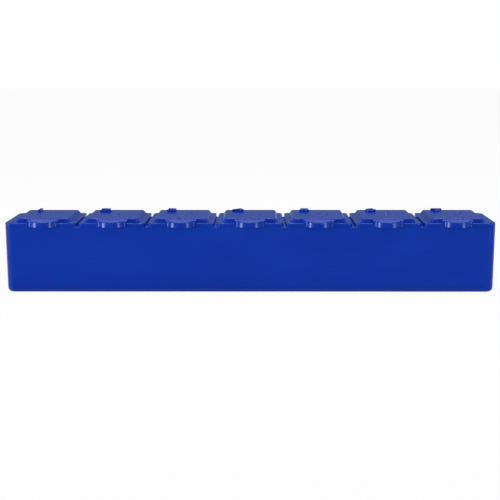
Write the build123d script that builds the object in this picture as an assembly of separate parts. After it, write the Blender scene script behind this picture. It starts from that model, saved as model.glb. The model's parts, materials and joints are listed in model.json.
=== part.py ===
from build123d import *
import os
from math import radians, sqrt, tan

# Weekly pill box: a tray of seven compartments in a row, each under its own hinged lid.
# Millimetres. X runs along the row, Y from the front to the hinges and Z up from the base.

# Tray
COMPARTMENTS = 7
COMPARTMENT_WIDTH = 28.3
COMPARTMENT_DEPTH = 31.6
TRAY_HEIGHT = 29.4
WALL = 2.2
END_WALL = 2.85
DIVIDER = 2.2
FLOOR = 1.8
DRAFT_DEGREES = 0.6
TRAY_CORNER = 3.6
COMPARTMENT_CORNER = 3.0
COMPARTMENT_FLOOR_FILLET = 2.4
BASE_FILLET = 1.9
RIM_FILLET = 0.35

# Lid flange, which rests on the tray's rim
FLANGE = 1.7
LID_GAP = 1.1
LID_CORNER = 1.9
FLANGE_TOP_FILLET = 0.5
FLANGE_BOTTOM_FILLET = 0.15

# Lid platform, the raised middle of the lid
PLATFORM_RISE = 1.9
PLATFORM_TOP_WIDTH = 22.6
PLATFORM_SLOPE_RUN = 1.3
PLATFORM_FRONT_RUN = 0.2
PLATFORM_FRONT_INSET = 1.9
PLATFORM_REAR_INSET = 3.9
PLATFORM_CORNER = 1.5
PLATFORM_FILLET = 0.7
PLATFORM_WALL = 1.4

# Thumb tab at the front of the lid
TAB_REACH = 3.0
TAB_RADIUS = 7.0
TAB_SHOULDER = 0.6
TAB_ROOT_RISE = 1.6
TAB_TIP_RISE = 0.5
TAB_ROOT_CORNER = 1.2
TAB_DRAFT_DEGREES = 5
TAB_FILLET = 0.45

# Plug skirt under the lid, with a bead that grips the front wall
SKIRT_DEPTH = 1.8
SKIRT_WALL = 1.0
SKIRT_CLEARANCE = 0.4
BEAD_LENGTH = 16.0
BEAD_CLEARANCE = 0.15

# Hinge behind each lid
PIN_RADIUS = 0.75
PIN_CLEARANCE = 0.05
PIN_CHAMFER = 0.15
BARREL_RADIUS = 1.7
BARREL_LENGTH = 10.0
BARREL_WALL_CLEARANCE = 0.4
HINGE_DROP = 0.4
LUG_WIDTH = 3.0
LUG_SIDE_CLEARANCE = 0.25
GUSSET_DROP = 2.2
OPEN_DEGREES = 115
STOP_CLEARANCE = 0.04

# Sizes that follow from these
PITCH = COMPARTMENT_WIDTH + DIVIDER
TRAY_LENGTH = COMPARTMENTS * PITCH - DIVIDER + END_WALL + END_WALL
TRAY_DEPTH = COMPARTMENT_DEPTH + WALL + WALL
FRONT = -TRAY_DEPTH / 2
REAR = TRAY_DEPTH / 2
FLANGE_TOP = TRAY_HEIGHT + FLANGE
PLATFORM_TOP = FLANGE_TOP + PLATFORM_RISE
PLATFORM_FRONT = FRONT + PLATFORM_FRONT_INSET
PLATFORM_TOP_FRONT = PLATFORM_FRONT + PLATFORM_FRONT_RUN
PLATFORM_TOP_REAR = REAR - PLATFORM_REAR_INSET
TAB_TIP = FRONT - TAB_REACH
TAB_BACK = PLATFORM_TOP_FRONT + PLATFORM_FILLET
TAB_ROOT_CIRCLE = TAB_RADIUS + TAB_ROOT_CORNER
TAB_WIDTH = (sqrt(TAB_ROOT_CIRCLE**2 - (TAB_ROOT_CIRCLE - TAB_REACH) ** 2) + TAB_SHOULDER) * 2
HINGE_BACK = BARREL_RADIUS + BARREL_WALL_CLEARANCE
HINGE_Y = REAR + HINGE_BACK
HINGE_Z = TRAY_HEIGHT - HINGE_DROP
PIN_LENGTH = BARREL_LENGTH + (LUG_SIDE_CLEARANCE + LUG_WIDTH) * 2
LUG_OFFSET = (BARREL_LENGTH + LUG_WIDTH) / 2 + LUG_SIDE_CLEARANCE
CENTRES = [(place - (COMPARTMENTS - 1) / 2) * PITCH for place in range(COMPARTMENTS)]


def lean(height):
    """How far a drafted wall leans over a height."""
    return height * tan(radians(DRAFT_DEGREES))


def drafted_block(width, depth, corner, bottom, top):
    """A block whose size is given at its top and whose walls lean in towards the bottom."""
    drawn_in = lean(top - bottom) * 2
    low = Pos(Z=bottom) * RectangleRounded(width - drawn_in, depth - drawn_in, corner)
    high = Pos(Z=top) * RectangleRounded(width, depth, corner)
    return loft([low, high])


def along_x(section, length):
    """A section drawn in Y and Z about the hinge axis, made solid over a length centred on X zero."""
    start = Plane(origin=(-length / 2, HINGE_Y, HINGE_Z), x_dir=(0, 1, 0), z_dir=(1, 0, 0))
    return extrude(start * section, length, dir=(1, 0, 0))


# Tray

def compartment_space():
    """The hollow of one compartment, rounded where its walls meet the floor."""
    space = drafted_block(
        COMPARTMENT_WIDTH, COMPARTMENT_DEPTH, COMPARTMENT_CORNER, FLOOR, TRAY_HEIGHT
    )
    return fillet(space.faces().sort_by(Axis.Z)[0].edges(), COMPARTMENT_FLOOR_FILLET)


def hinge_lug():
    """A lug on the rear wall: a round eye on a gusset, with a heel that stops the open lid."""
    root = -HINGE_BACK - WALL / 2
    gusset = Polygon(
        (root, 0), (0, 0), (0, -BARREL_RADIUS), (root, -BARREL_RADIUS - GUSSET_DROP), align=None
    )
    heel = Rectangle(
        HINGE_DROP + FLANGE - FLANGE_TOP_FILLET,
        HINGE_BACK - STOP_CLEARANCE,
        align=(Align.MIN, Align.MIN),
    )
    turned_heel = Rot(Z=90 - OPEN_DEGREES) * heel
    return along_x(Circle(BARREL_RADIUS) + gusset + turned_heel, LUG_WIDTH)


def make_tray():
    """The tray: a drafted shell, its compartments and the lugs with their pin holes."""
    shell = drafted_block(TRAY_LENGTH, TRAY_DEPTH, TRAY_CORNER, 0, TRAY_HEIGHT)
    shell = fillet(shell.faces().sort_by(Axis.Z)[0].edges(), BASE_FILLET)
    space = compartment_space()
    shell -= [Pos(X=x) * space for x in CENTRES]
    tray = fillet(shell.faces().sort_by(Axis.Z)[-1].edges(), RIM_FILLET)
    lug = hinge_lug()
    tray += [Pos(X=x + side * LUG_OFFSET) * lug for x in CENTRES for side in (-1, 1)]
    pin_hole = along_x(Circle(PIN_RADIUS), PIN_LENGTH)
    return tray - [Pos(X=x) * pin_hole for x in CENTRES]


# Lids

def lid_flange(left, right, left_corner, right_corner):
    """The plate that rests on the rim, from its left side to its right side."""
    outline = Pos((left + right) / 2) * Rectangle(right - left, TRAY_DEPTH)
    outline = fillet(outline.vertices().group_by(Axis.X)[0], left_corner)
    outline = fillet(outline.vertices().group_by(Axis.X)[-1], right_corner)
    plate = extrude(Pos(Z=TRAY_HEIGHT) * outline, FLANGE)
    plate = fillet(plate.faces().sort_by(Axis.Z)[-1].edges(), FLANGE_TOP_FILLET)
    return fillet(plate.faces().sort_by(Axis.Z)[0].edges(), FLANGE_BOTTOM_FILLET)


def lid_platform():
    """The raised middle, with an upright front and sloping sides and rear."""
    top = PLATFORM_TOP_WIDTH / 2
    foot = top + PLATFORM_SLOPE_RUN
    seen_from_front = Plane.XZ.offset(FRONT) * Polygon(
        (-foot, FLANGE_TOP), (-top, PLATFORM_TOP), (top, PLATFORM_TOP), (foot, FLANGE_TOP), align=None
    )
    seen_from_side = Plane.YZ.offset(-foot) * Polygon(
        (PLATFORM_FRONT, FLANGE_TOP), (PLATFORM_TOP_FRONT, PLATFORM_TOP),
        (PLATFORM_TOP_REAR, PLATFORM_TOP), (PLATFORM_TOP_REAR + PLATFORM_SLOPE_RUN, FLANGE_TOP),
        align=None,
    )
    lengthwise = extrude(seen_from_front, TRAY_DEPTH, both=True)
    raised = lengthwise & extrude(seen_from_side, foot * 2, dir=(1, 0, 0))
    corners = raised.edges() - raised.edges().filter_by(Plane.XY)
    raised = fillet(corners, PLATFORM_CORNER)
    return fillet(raised.faces().sort_by(Axis.Z)[-1].edges(), PLATFORM_FILLET)


def lid_hollow():
    """The hollow under the platform, which keeps the moulding's wall even."""
    front = PLATFORM_TOP_FRONT + PLATFORM_WALL
    plan = RectangleRounded(PLATFORM_TOP_WIDTH, PLATFORM_TOP_REAR - front, PLATFORM_CORNER)
    height = PLATFORM_TOP - PLATFORM_WALL - TRAY_HEIGHT
    return extrude(Pos(0, (front + PLATFORM_TOP_REAR) / 2, TRAY_HEIGHT) * plan, height)


def tab_plan(drawn_in, height):
    """The tab's outline at a height, with its front drawn in by a length."""
    front = FRONT + drawn_in
    strip = Pos(0, (front + TAB_BACK) / 2) * Rectangle(TAB_WIDTH, TAB_BACK - front)
    plan = strip + Pos(0, TAB_TIP + TAB_RADIUS) * Circle(TAB_RADIUS - drawn_in)
    length = (TAB_BACK - TAB_TIP) * 2
    plan &= Pos(0, TAB_BACK) * Rectangle(TAB_WIDTH, length, align=(Align.CENTER, Align.MAX))
    roots = plan.vertices().group_by(Axis.Y)[0].sort_by(Axis.X)[1:-1]
    return Pos(Z=height) * fillet(roots, TAB_ROOT_CORNER + drawn_in)


def thumb_tab():
    """The tab that a thumb lifts: a round lip in front of the tray that slopes down from the platform."""
    drawn_in = (PLATFORM_TOP - TRAY_HEIGHT) * tan(radians(TAB_DRAFT_DEGREES))
    column = loft([tab_plan(0, TRAY_HEIGHT), tab_plan(drawn_in, PLATFORM_TOP)], ruled=True)
    side = Plane.YZ.offset(-TAB_WIDTH / 2) * Polygon(
        (TAB_TIP, TRAY_HEIGHT), (TAB_TIP, FLANGE_TOP + TAB_TIP_RISE),
        (TAB_BACK, FLANGE_TOP + TAB_ROOT_RISE), (TAB_BACK, TRAY_HEIGHT),
        align=None,
    )
    tab = column & extrude(side, TAB_WIDTH, dir=(1, 0, 0))
    free_edges = tab.faces().sort_by(Axis.Z)[-1].edges().sort_by(Axis.Y)[:-1]
    return fillet(free_edges, TAB_FILLET)


def plug_skirt():
    """The wall under the flange that plugs the compartment, with its bead."""
    width = COMPARTMENT_WIDTH - SKIRT_CLEARANCE * 2
    depth = COMPARTMENT_DEPTH - SKIRT_CLEARANCE * 2
    corner = COMPARTMENT_CORNER - SKIRT_CLEARANCE
    outer = RectangleRounded(width, depth, corner)
    inner = RectangleRounded(width - SKIRT_WALL * 2, depth - SKIRT_WALL * 2, corner - SKIRT_WALL)
    skirt = extrude(Pos(Z=TRAY_HEIGHT - SKIRT_DEPTH) * (outer - inner), SKIRT_DEPTH + FLANGE / 2)
    bead = Cylinder(SKIRT_CLEARANCE - BEAD_CLEARANCE, BEAD_LENGTH)
    return skirt + Pos(0, -depth / 2, TRAY_HEIGHT - SKIRT_DEPTH / 2) * Rot(Y=90) * bead


def hinge_barrel():
    """The lid's barrel and the arm that carries it behind the flange."""
    root = -HINGE_BACK - FLANGE_TOP_FILLET
    arm = Polygon(
        (root, HINGE_DROP), (root, HINGE_DROP + FLANGE - FLANGE_TOP_FILLET),
        (0, BARREL_RADIUS), (0, 0), (-BARREL_RADIUS, 0), (-HINGE_BACK, HINGE_DROP),
        align=None,
    )
    return along_x(Circle(BARREL_RADIUS) + arm, BARREL_LENGTH)


def make_lid(left_reach, right_reach, left_corner, right_corner):
    """A lid about X zero, whose flange reaches out by its own amount on each side."""
    lid = lid_flange(-left_reach, right_reach, left_corner, right_corner)
    lid += [lid_platform(), thumb_tab(), plug_skirt(), hinge_barrel()]
    return lid - [lid_hollow(), along_x(Circle(PIN_RADIUS + PIN_CLEARANCE), BARREL_LENGTH)]


def make_lids():
    """The row of lids. The first and the last reach out to the tray's end walls."""
    inner = (PITCH - LID_GAP) / 2
    outer = PITCH / 2 + END_WALL - DIVIDER / 2
    first = make_lid(outer, inner, TRAY_CORNER, LID_CORNER)
    middle = make_lid(inner, inner, LID_CORNER, LID_CORNER)
    last = make_lid(inner, outer, LID_CORNER, TRAY_CORNER)
    lids = [first] + [middle] * (COMPARTMENTS - 2) + [last]
    return [Pos(X=x) * lid for x, lid in zip(CENTRES, lids)]


# Hinge pins

def make_pins():
    """The plain pins, each through a lid's barrel and both of its lugs."""
    pin = along_x(Circle(PIN_RADIUS), PIN_LENGTH)
    pin = chamfer(pin.edges().filter_by(GeomType.CIRCLE), PIN_CHAMFER)
    return [Pos(X=x) * pin for x in CENTRES]


os.makedirs("parts", exist_ok=True)
export_step(make_tray(), "parts/tray.step")
for number, (lid, pin) in enumerate(zip(make_lids(), make_pins()), start=1):
    export_step(lid, f"parts/lid_{number}.step")
    export_step(pin, f"parts/hinge_pin_{number}.step")
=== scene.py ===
import json
import math

import bpy
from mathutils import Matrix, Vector


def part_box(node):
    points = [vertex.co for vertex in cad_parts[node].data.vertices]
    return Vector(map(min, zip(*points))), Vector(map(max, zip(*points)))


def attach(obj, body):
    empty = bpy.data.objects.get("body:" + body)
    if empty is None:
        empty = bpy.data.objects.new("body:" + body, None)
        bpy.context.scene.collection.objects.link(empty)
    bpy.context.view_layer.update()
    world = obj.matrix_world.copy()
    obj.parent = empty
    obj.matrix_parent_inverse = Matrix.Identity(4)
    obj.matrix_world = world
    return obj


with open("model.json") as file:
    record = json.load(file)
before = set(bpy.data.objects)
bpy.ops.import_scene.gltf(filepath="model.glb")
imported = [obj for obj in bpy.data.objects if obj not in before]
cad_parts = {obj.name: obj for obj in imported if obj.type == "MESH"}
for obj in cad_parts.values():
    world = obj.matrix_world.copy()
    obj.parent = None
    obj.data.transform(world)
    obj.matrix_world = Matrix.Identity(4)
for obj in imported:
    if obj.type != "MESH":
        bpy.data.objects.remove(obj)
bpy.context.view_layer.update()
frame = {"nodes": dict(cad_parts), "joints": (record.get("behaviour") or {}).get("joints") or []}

# A weekly pill box in deep blue moulded plastic. The tray, the lids and the hinge pins come from
# the frame. Here they get their finishes, and the lids get their raised numbers and touch dots.
# Then come a pale floor, a white surround, grey cards for the gloss, soft lamps and the camera.

MM = 0.001

# Moulded blue plastic
DEEP_BLUE = (0.0010, 0.0305, 0.328, 1)
LIGHT_BLUE = (0.0020, 0.0350, 0.354, 1)
FLOW_SIZE = 14 * MM
FLOW_STRETCH = 0.35
FLOW_RANGE = (0.3, 0.7)
SKIN_SIZE = 0.45 * MM
SKIN_HEIGHT = 0.006 * MM
SWELL_SIZE = 5 * MM
SWELL_HEIGHT = 0.03 * MM
RUB_SIZE = 0.5 * MM
RUB_STRETCH = 0.06
RUB_RANGE = (0.62, 0.72)
PLASTIC_ROUGHNESS = 0.2
SKIN_ROUGHNESS = 0.06
RUB_ROUGHNESS = 0.05
PLASTIC_SPECULAR = 0.17

# Drawn steel of the hinge pins
DARK_STEEL = (0.55, 0.56, 0.58, 1)
LIGHT_STEEL = (0.68, 0.69, 0.71, 1)
DRAWING_SIZE = 0.08 * MM
DRAWING_STRETCH = 0.03
DRAWING_HEIGHT = 0.004 * MM
STEEL_ROUGHNESS = 0.22
DRAWING_ROUGHNESS = 0.16

# Raised number at the rear left of each lid
NUMBER_SIZE = 8.8 * MM
NUMBER_RISE = 1.0 * MM
NUMBER_WIDENING = 1.25
NUMBER_SOFT_EDGE = 0.16 * MM
NUMBER_THICKENING = 0.1 * MM
NUMBER_LEFT_OF_MIDDLE = 5.6 * MM
NUMBER_REAR_MARGIN = 4.8 * MM
NUMBER_CURVE_STEPS = 8
NUMBER_EDGE_STEPS = 3
NUMBER_SHARP_ANGLE = math.radians(40)

# Touch dots at the front right of each lid, in a cell of two columns and three rows
DOT_RADIUS = 0.8 * MM
DOT_RISE = 0.45 * MM
DOT_FOOT = 0.18 * MM
DOT_COLUMN_STEP = 3.6 * MM
DOT_ROW_STEP = 4.6 * MM
DOT_CELL_RIGHT = 0.8 * MM
DOT_CELL_FRONT = 10.0 * MM
DOT_SEGMENTS = 28
DOT_SHARP_ANGLE = math.radians(50)
DOT_PLACES = {
    1: ((0, 2),),
    2: ((0, 2), (0, 1)),
    3: ((0, 2), (1, 2)),
    4: ((0, 2), (1, 2), (1, 1)),
    5: ((0, 2), (1, 1)),
    6: ((0, 2), (0, 1), (1, 2)),
    7: ((0, 2), (0, 1), (1, 2), (1, 1)),
}

# A raised shape starts this far below the surface that it stands on
SINK = 0.12 * MM
# Corners of a mesh that lie closer than this are one corner
MERGE = 0.001 * MM

# Floor and surround, in metres
FLOOR_REACH = 4.0
FLOOR_COLOUR = (0.75, 0.75, 0.75, 1)
FLOOR_ROUGHNESS = 0.9
FLOOR_WHITE = 0.95
AMBIENT = 0.3
PLAIN_WHITE = (1, 1, 1, 1)

# Grey cards: name, place, turn about X, width and height, in metres
CARD_GREY = (0.17, 0.21, 0.18, 1)
FLAT = 0
UPRIGHT = math.pi / 2
CARDS = (
    ("rear_card", (0, 0.9, 0.25), UPRIGHT, 2.4, 0.5),
    ("far_card", (0, -1.3, 0.3), UPRIGHT, 2.4, 0.6),
    ("floor_card", (0, -0.66, 0.001), FLAT, 0.6, 1.28),
)

# Soft lamps, at a level where a colour renders about as it is written: name, place, aim, width
# and height in metres, then power in watts and colour
WHITE = (1, 1, 1)
COOL = (0.72, 0.88, 1)
AT_MIDDLE = (0, 0, 0.02)
AT_RIM = (0, 0, 0.03)
LAMPS = (
    ("left_light", (-0.81, -0.36, 0.08), AT_RIM, 0.2, 0.15, 4.3, COOL),
    ("right_light", (0.67, -0.60, 0.08), AT_RIM, 0.2, 0.15, 2.1, COOL),
    ("top_light", (0, 0.1, 0.95), AT_MIDDLE, 0.7, 0.1, 6.6, WHITE),
    ("front_light", (0, -1.2, 0.62), AT_MIDDLE, 1.6, 0.5, 2.4, WHITE),
)

# Camera, at the photograph's viewing angle
CAMERA_PLACE = (3.71 * MM, -530.4 * MM, 101.45 * MM)
CAMERA_PITCH = math.radians(9.125)
CAMERA_YAW = math.radians(0.404)
CAMERA_ROLL = math.radians(0.05)
CAMERA_LENS = 84.63
CAMERA_SENSOR = 36.0
CAMERA_NEAR = 0.01


class Wire:
    """A value in a node tree. Arithmetic on it adds Math nodes."""

    def __init__(self, finish, socket):
        self.finish = finish
        self.socket = socket

    def __add__(self, other):
        return self.finish.math("ADD", self, other)

    def __radd__(self, other):
        return self.finish.math("ADD", other, self)

    def __mul__(self, other):
        return self.finish.math("MULTIPLY", self, other)

    def __rmul__(self, other):
        return self.finish.math("MULTIPLY", other, self)


class Finish:
    """The node tree of a material or of the world."""

    def __init__(self, owner):
        owner.use_nodes = True
        self.tree = owner.node_tree

    def node(self, kind, settings=None, sockets=None, output=0):
        """Adds a node, sets it up, fills its sockets with values or links, and gives its output."""
        made = self.tree.nodes.new(kind)
        for name, value in (settings or {}).items():
            setattr(made, name, value)
        for name, value in (sockets or {}).items():
            self.feed(made.inputs[name], value)
        return Wire(self, made.outputs[output])

    def feed(self, socket, value):
        """Links a wire to a socket, or sets the socket's own value."""
        if isinstance(value, Wire):
            self.tree.links.new(value.socket, socket)
        else:
            socket.default_value = value

    def math(self, operation, first, second):
        return self.node("ShaderNodeMath", {"operation": operation}, {0: first, 1: second})

    def place(self):
        """Where a point lies on the object."""
        return self.node("ShaderNodeTexCoord", output="Object")

    def drawn_out(self, place, share):
        """A place whose patterns are drawn out along X, as a scale below 1 does."""
        return self.node("ShaderNodeMapping", None, {"Vector": place, "Scale": (share, 1, 1)})

    def noise(self, place, feature, detail=2.0):
        """Noise whose blobs are about as wide as a length."""
        sockets = {"Vector": place, "Scale": 1 / feature, "Detail": detail}
        return self.node("ShaderNodeTexNoise", None, sockets, "Fac")

    def spread(self, value, low, high):
        """A value brought from a range to 0 to 1, and held there."""
        sockets = {"Value": value, "From Min": low, "From Max": high}
        return self.node("ShaderNodeMapRange", None, sockets)

    def blend(self, share, first, second):
        """A colour between two colours."""
        sockets = {0: share, 6: first, 7: second}
        return self.node("ShaderNodeMix", {"data_type": "RGBA"}, sockets, 2)

    def bump(self, height, distance, normal=None):
        """A surface normal bent by a height."""
        sockets = {"Height": height, "Distance": distance, "Strength": 1.0}
        if normal:
            sockets["Normal"] = normal
        return self.node("ShaderNodeBump", None, sockets)

    def glow(self, kind, colour, strength=1.0):
        """An even light from a surface or from the world."""
        return self.node(kind, None, {"Color": colour, "Strength": strength})

    def sight(self):
        """1 for what is seen, straight, in gloss or through clear plastic, and 0 for cast light."""
        camera = self.node("ShaderNodeLightPath", output="Is Camera Ray")
        glossy = self.node("ShaderNodeLightPath", output="Is Glossy Ray")
        through = self.node("ShaderNodeLightPath", output="Is Transmission Ray")
        return self.math("MAXIMUM", camera, self.math("MAXIMUM", glossy, through))


def dress(material, colour, roughness, normal, **constants):
    """Fills the main sockets of a material's shader."""
    finish = Finish(material)
    shader = finish.tree.nodes["Principled BSDF"]
    finish.feed(shader.inputs["Base Color"], colour)
    finish.feed(shader.inputs["Roughness"], roughness)
    finish.feed(shader.inputs["Normal"], normal)
    for name, value in constants.items():
        finish.feed(shader.inputs[name.replace("_", " ")], value)


def moulded_blue():
    """Deep blue polypropylene: flow marks in the colour, a fine skin and a few faint rubs."""
    material = bpy.data.materials.new("moulded_blue")
    finish = Finish(material)
    place = finish.place()
    flow = finish.noise(finish.drawn_out(place, FLOW_STRETCH), FLOW_SIZE, detail=3)
    colour = finish.blend(finish.spread(flow, *FLOW_RANGE), DEEP_BLUE, LIGHT_BLUE)
    skin = finish.noise(place, SKIN_SIZE, detail=3)
    swell = finish.noise(place, SWELL_SIZE)
    streaks = finish.noise(finish.drawn_out(place, RUB_STRETCH), RUB_SIZE, detail=4)
    rubs = finish.spread(streaks, *RUB_RANGE)
    roughness = PLASTIC_ROUGHNESS + skin * SKIN_ROUGHNESS + rubs * RUB_ROUGHNESS
    normal = finish.bump(skin, SKIN_HEIGHT, finish.bump(swell, SWELL_HEIGHT))
    dress(material, colour, roughness, normal, Specular_IOR_Level=PLASTIC_SPECULAR)
    return material


def drawn_steel():
    """Stainless wire with fine drawing marks along the pin."""
    material = bpy.data.materials.new("drawn_steel")
    finish = Finish(material)
    marks = finish.noise(finish.drawn_out(finish.place(), DRAWING_STRETCH), DRAWING_SIZE, detail=3)
    colour = finish.blend(marks, DARK_STEEL, LIGHT_STEEL)
    roughness = STEEL_ROUGHNESS + marks * DRAWING_ROUGHNESS
    dress(material, colour, roughness, finish.bump(marks, DRAWING_HEIGHT), Metallic=1.0)
    return material


def clear_selection():
    bpy.ops.object.select_all(action="DESELECT")


def make_active(piece):
    """Selects one piece alone and works on it."""
    clear_selection()
    piece.select_set(True)
    bpy.context.view_layer.objects.active = piece


def settle(piece, name):
    """Names a piece and puts its place, turn and scale into its mesh."""
    piece.name = name
    piece.data.name = name
    make_active(piece)
    bpy.ops.object.transform_apply(location=True, rotation=True, scale=True)


def finish_mesh(piece, sharp_angle):
    """Merges doubled corners, points the faces outwards and smooths all but the sharp edges."""
    make_active(piece)
    bpy.ops.object.mode_set(mode="EDIT")
    bpy.ops.mesh.select_all(action="SELECT")
    bpy.ops.mesh.remove_doubles(threshold=MERGE)
    bpy.ops.mesh.normals_make_consistent(inside=False)
    bpy.ops.object.mode_set(mode="OBJECT")
    bpy.ops.object.shade_smooth_by_angle(angle=sharp_angle)


def belongs_to_lid(piece, number, material):
    """Gives a piece its lid's finish and lets it ride on the lid."""
    piece.data.materials.clear()
    piece.data.materials.append(material)
    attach(piece, f"lid_{number}")


def lid_middle(number):
    """The X of a lid's hinge, which is the middle of its compartment."""
    return frame["joints"][number - 1]["pos_m"][0]


def lid_top(number):
    """The height of a lid's platform."""
    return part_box(f"lid_{number}")[1][2]


def raised_number(number, material):
    """The lid's number, raised at the rear left of its platform."""
    tray_rear = -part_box("tray")[0][1]
    clear_selection()
    bpy.ops.object.text_add(
        location=(
            lid_middle(number) - NUMBER_LEFT_OF_MIDDLE,
            tray_rear - NUMBER_REAR_MARGIN,
            lid_top(number) + (NUMBER_RISE - SINK) / 2,
        )
    )
    piece = bpy.context.object
    piece.data.body = str(number)
    piece.data.size = NUMBER_SIZE
    piece.data.align_x = "CENTER"
    piece.data.align_y = "TOP"
    piece.data.offset = NUMBER_THICKENING - NUMBER_SOFT_EDGE
    piece.data.extrude = (NUMBER_RISE + SINK) / 2 - NUMBER_SOFT_EDGE
    piece.data.bevel_depth = NUMBER_SOFT_EDGE
    piece.data.bevel_resolution = NUMBER_EDGE_STEPS
    piece.data.resolution_u = NUMBER_CURVE_STEPS
    bpy.ops.object.convert(target="MESH")
    piece = bpy.context.object
    piece.scale.x = NUMBER_WIDENING
    settle(piece, f"number_{number}")
    finish_mesh(piece, NUMBER_SHARP_ANGLE)
    belongs_to_lid(piece, number, material)


def touch_dot():
    """One low dome with a flared foot, closed underneath, standing on Z zero."""
    ball = (DOT_RADIUS**2 + DOT_RISE**2) / (2 * DOT_RISE)
    clear_selection()
    bpy.ops.mesh.primitive_uv_sphere_add(
        segments=DOT_SEGMENTS,
        ring_count=DOT_SEGMENTS,
        radius=ball,
        location=(0, 0, DOT_RISE - ball),
    )
    dot = bpy.context.object
    bpy.ops.object.mode_set(mode="EDIT")
    bpy.ops.mesh.select_all(action="SELECT")
    bpy.ops.mesh.bisect(plane_co=(0, 0, DOT_FOOT / 2), plane_no=(0, 0, 1), clear_inner=True)
    bpy.ops.mesh.select_all(action="DESELECT")
    bpy.ops.mesh.select_non_manifold()
    flare = 1 + DOT_FOOT / DOT_RADIUS
    bpy.ops.mesh.extrude_region_move(TRANSFORM_OT_translate={"value": (0, 0, -DOT_FOOT / 2)})
    bpy.ops.transform.resize(value=(flare, flare, 1), center_override=(0, 0, 0))
    bpy.ops.mesh.extrude_region_move(TRANSFORM_OT_translate={"value": (0, 0, -SINK)})
    bpy.ops.mesh.edge_face_add()
    bpy.ops.object.mode_set(mode="OBJECT")
    settle(dot, "touch_dot")
    return dot


def raised_dots(number, dot, material):
    """The lid's touch dots: copies of one dot, joined into one piece."""
    tray_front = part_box("tray")[0][1]
    copies = []
    for column, row in DOT_PLACES[number]:
        copy = dot.copy()
        copy.data = dot.data.copy()
        copy.location = (
            lid_middle(number) + DOT_CELL_RIGHT + column * DOT_COLUMN_STEP,
            tray_front + DOT_CELL_FRONT + row * DOT_ROW_STEP,
            lid_top(number),
        )
        bpy.context.scene.collection.objects.link(copy)
        copies.append(copy)
    make_active(copies[0])
    for copy in copies:
        copy.select_set(True)
    if len(copies) > 1:
        bpy.ops.object.join()
    settle(copies[0], f"touch_dots_{number}")
    finish_mesh(copies[0], DOT_SHARP_ANGLE)
    belongs_to_lid(copies[0], number, material)


def light_floor():
    """A plain pale floor that is seen as white, with the box's shadow on it."""
    clear_selection()
    bpy.ops.mesh.primitive_plane_add(size=FLOOR_REACH * 2)
    floor = bpy.context.object
    floor.name = "floor"
    material = bpy.data.materials.new("floor")
    finish = Finish(material)
    shader = finish.tree.nodes["Principled BSDF"]
    finish.feed(shader.inputs["Base Color"], FLOOR_COLOUR)
    finish.feed(shader.inputs["Roughness"], FLOOR_ROUGHNESS)
    finish.feed(shader.inputs["Specular IOR Level"], 0.0)
    matt = Wire(finish, shader.outputs[0])
    white = finish.glow("ShaderNodeEmission", PLAIN_WHITE)
    shares = {0: finish.sight() * FLOOR_WHITE, 1: matt, 2: white}
    seen = finish.node("ShaderNodeMixShader", None, shares)
    finish.feed(finish.tree.nodes["Material Output"].inputs["Surface"], seen)
    floor.data.materials.append(material)


def studio_world():
    """An even white surround: soft light on the box, plain white behind it."""
    world = bpy.data.worlds.new("studio")
    finish = Finish(world)
    finish.tree.nodes.clear()
    soft = finish.glow("ShaderNodeBackground", PLAIN_WHITE, AMBIENT)
    white = finish.glow("ShaderNodeBackground", PLAIN_WHITE)
    seen = finish.node("ShaderNodeMixShader", None, {0: finish.sight(), 1: soft, 2: white})
    surround = finish.tree.nodes.new("ShaderNodeOutputWorld")
    finish.feed(surround.inputs["Surface"], seen)
    bpy.context.scene.world = world


def card_grey():
    """The even grey of the studio's cards."""
    material = bpy.data.materials.new("card_grey")
    finish = Finish(material)
    grey = finish.glow("ShaderNodeEmission", CARD_GREY)
    finish.feed(finish.tree.nodes["Material Output"].inputs["Surface"], grey)
    return material


def studio_card(name, place, turn, width, height, material):
    """A grey card out of the picture, which the gloss shows in place of the white surround."""
    clear_selection()
    bpy.ops.mesh.primitive_plane_add(size=1, location=place, rotation=(turn, 0, 0))
    card = bpy.context.object
    card.name = name
    card.scale = (width, height, 1)
    card.data.materials.append(material)
    card.visible_camera = False
    card.visible_diffuse = False
    card.visible_shadow = False


def soft_box(name, place, aim, width, height, power, colour):
    """A rectangular studio lamp turned towards a point."""
    lamp = bpy.data.lights.new(name, "AREA")
    lamp.shape = "RECTANGLE"
    lamp.size = width
    lamp.size_y = height
    lamp.energy = power
    lamp.color = colour
    holder = bpy.data.objects.new(name, lamp)
    holder.location = place
    holder.rotation_euler = (Vector(aim) - Vector(place)).to_track_quat("-Z", "Y").to_euler()
    holder.visible_camera = False
    bpy.context.scene.collection.objects.link(holder)


def photograph_camera():
    """The camera, in front of the box and a little above it."""
    lens = bpy.data.cameras.new("camera")
    lens.lens = CAMERA_LENS
    lens.sensor_width = CAMERA_SENSOR
    lens.clip_start = CAMERA_NEAR
    camera = bpy.data.objects.new("camera", lens)
    camera.location = CAMERA_PLACE
    camera.rotation_euler = (math.pi / 2 - CAMERA_PITCH, CAMERA_ROLL, CAMERA_YAW)
    bpy.context.scene.collection.objects.link(camera)
    bpy.context.scene.camera = camera


blue = moulded_blue()
steel = drawn_steel()
for name, node in frame["nodes"].items():
    node.data.materials.clear()
    node.data.materials.append(steel if name.startswith("hinge_pin") else blue)

dot = touch_dot()
for number in DOT_PLACES:
    raised_number(number, blue)
    raised_dots(number, dot, blue)
bpy.data.objects.remove(dot)

light_floor()
studio_world()
grey = card_grey()
for card in CARDS:
    studio_card(*card, grey)
for lamp in LAMPS:
    soft_box(*lamp)
photograph_camera()

bpy.context.scene.view_settings.view_transform = "Standard"
